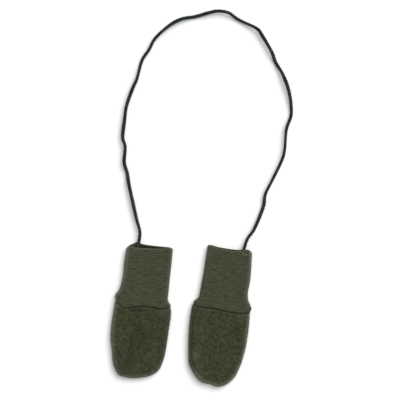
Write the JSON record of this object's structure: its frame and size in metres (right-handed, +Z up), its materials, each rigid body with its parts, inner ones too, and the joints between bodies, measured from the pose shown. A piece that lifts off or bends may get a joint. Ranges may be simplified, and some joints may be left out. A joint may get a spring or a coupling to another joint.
{
  "type": "pair of baby mittens",
  "caption": "Pair of thumbless baby mittens lying flat: boiled wool bodies, long rib cuffs, joined by a thin twisted cord.",
  "frame": {"origin": "on the surface that the mittens lie on, at the middle of the pair's own box, without the cord", "axes": "+X to the right across the pair, +Y from the tips towards the cuffs' mouths and the cord's loop, +Z up from the surface"},
  "size_m": [0.1969, 0.4065, 0.0076],
  "materials": {
    "wool_fleece": "matt felted wool, mottled dark olive",
    "rib_knit": "matt fine rib knit, dark olive",
    "cord_yarn": "twisted wool yarn, green-black"
  },
  "bodies": {
    "root": {"left_back": "wool_fleece", "left_palm": "wool_fleece", "left_cuff": "rib_knit", "right_back": "wool_fleece", "right_palm": "wool_fleece", "right_cuff": "rib_knit", "cord": "cord_yarn"}
  },
  "joints": []
}
